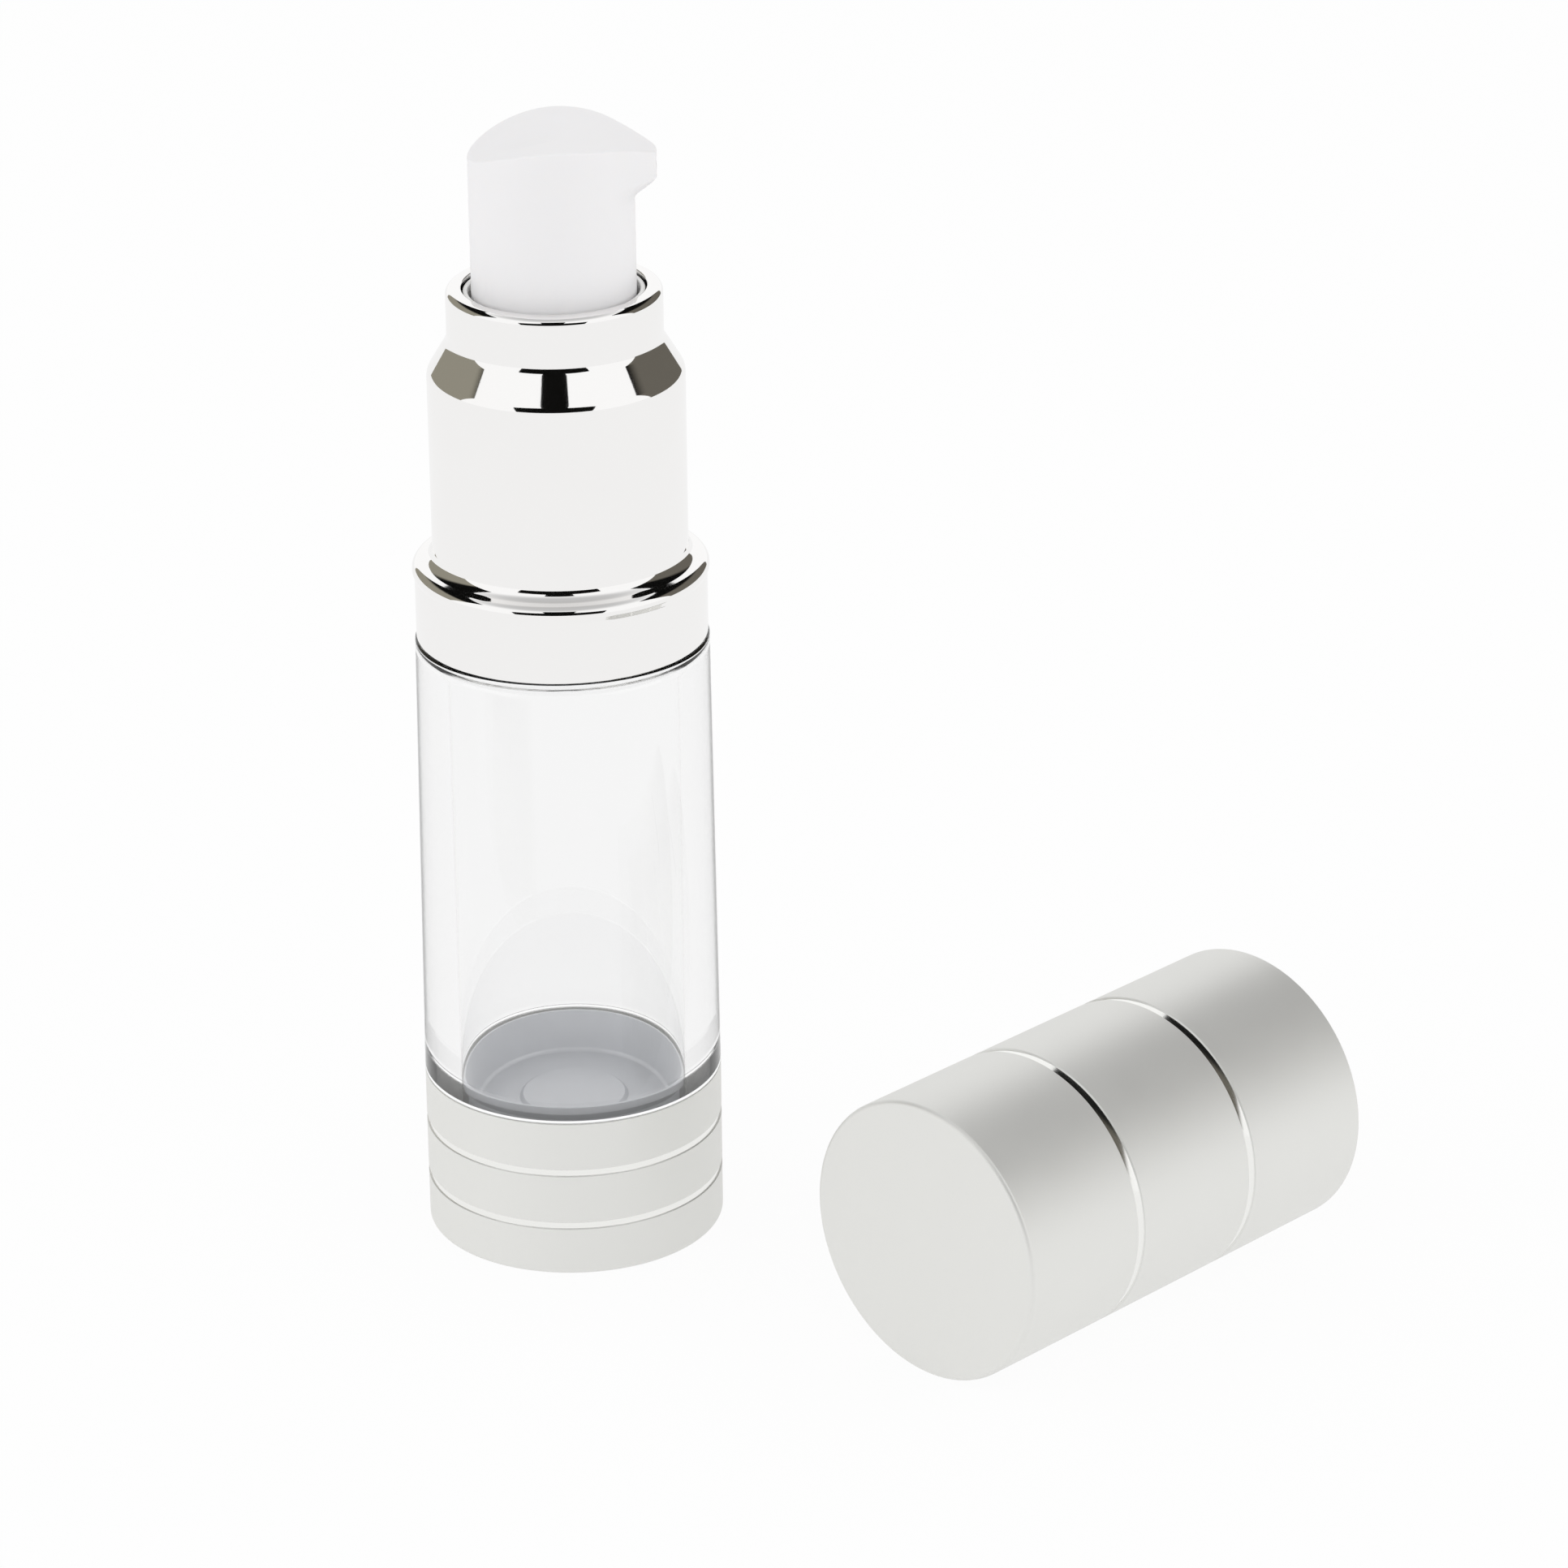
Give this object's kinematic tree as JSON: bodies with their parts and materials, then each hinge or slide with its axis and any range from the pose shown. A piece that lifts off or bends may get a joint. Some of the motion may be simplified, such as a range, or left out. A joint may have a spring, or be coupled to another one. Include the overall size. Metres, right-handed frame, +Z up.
{
  "type": "airless pump bottle",
  "caption": "Slim airless pump bottle: clear body, silver base cup, bright collar, white press head with a beak, and its silver cap lying off beside it.",
  "frame": {"origin": "centre of the bottle's foot, on the surface it stands on", "axes": "+Z up along the bottle's axis; +X along the lying cap's axis, towards its open mouth; the head's beak points to +X -Y"},
  "size_m": [0.0538, 0.0688, 0.0996],
  "materials": {
    "cap_silver": "matte anodised, fine satin grain, bright cut grooves",
    "cup_silver": "matte anodised, fine satin grain, bright cut grooves",
    "collar_bright": "bright dipped and polished, mirror-like",
    "liner_white": "moulded polypropylene",
    "head_white": "moulded polypropylene, satin gloss",
    "insert_white": "moulded polypropylene",
    "pump_white": "moulded polypropylene",
    "piston_natural": "moulded polyethylene, natural",
    "plug_white": "moulded polypropylene",
    "body_clear": "clear moulded acrylic, polished",
    "follower_grey": "moulded polyethylene, grey",
    "gasket_grey": "soft foamed gasket",
    "spring_steel": "drawn wire",
    "ball_steel": "polished ball"
  },
  "bodies": {
    "bottle": {"bottle_body": "body_clear", "base_plug": "plug_white", "base_cup": "cup_silver"},
    "follower": {"follower_piston": "follower_grey"},
    "pump": {"pump_housing": "pump_white", "housing_closure": "pump_white", "inlet_cage": "pump_white", "neck_gasket": "gasket_grey", "return_spring": "spring_steel"},
    "collar": {"collar_shell": "collar_bright", "collar_insert": "insert_white"},
    "plunger": {"stem": "pump_white", "plunger_rod": "pump_white", "pump_piston": "piston_natural"},
    "head": {"actuator": "head_white"},
    "inlet_valve": {"inlet_ball": "ball_steel"},
    "outlet_valve": {"outlet_ball": "ball_steel"},
    "cap": {"cap_shell": "cap_silver", "cap_liner": "liner_white"}
  },
  "joints": [
    {"name": "collar_unscrew", "type": "hinge", "parent": "pump", "child": "collar", "pos_m": [0, 0, 0.06], "axis": [0, 0, 1], "range_deg": [0, 360]},
    {"name": "pump_lift", "type": "slide", "parent": "bottle", "child": "pump", "axis": [0, 0, 1], "range_m": [0, 0.002]},
    {"name": "pump_press", "type": "slide", "parent": "pump", "child": "plunger", "axis": [0, 0, -1], "range_m": [0, 0.0055], "stiffness_N_per_m": 1500, "springref_m": -0.002, "deforming": ["return_spring"]},
    {"name": "head_turn", "type": "hinge", "parent": "plunger", "child": "head", "pos_m": [0, 0, 0.088], "axis": [0, 0, 1], "continuous": true},
    {"name": "inlet_ball_lift", "type": "slide", "parent": "pump", "child": "inlet_valve", "axis": [0, 0, 1], "range_m": [0, 0.0007]},
    {"name": "outlet_ball_lift", "type": "slide", "parent": "plunger", "child": "outlet_valve", "axis": [0, 0, 1], "range_m": [0, 0.0007]},
    {"name": "follower_rise", "type": "slide", "parent": "bottle", "child": "follower", "axis": [0, 0, 1], "range_m": [0, 0.038]},
    {"name": "cap_lift", "type": "slide", "parent": "bottle", "child": "cap", "axis": [0, 0, 1], "range_m": [0, 0.12]}
  ],
  "couplings": [
    {"joint": "pump_lift", "follows": "collar_unscrew", "m_per_rad": 0.00031831}
  ]
}
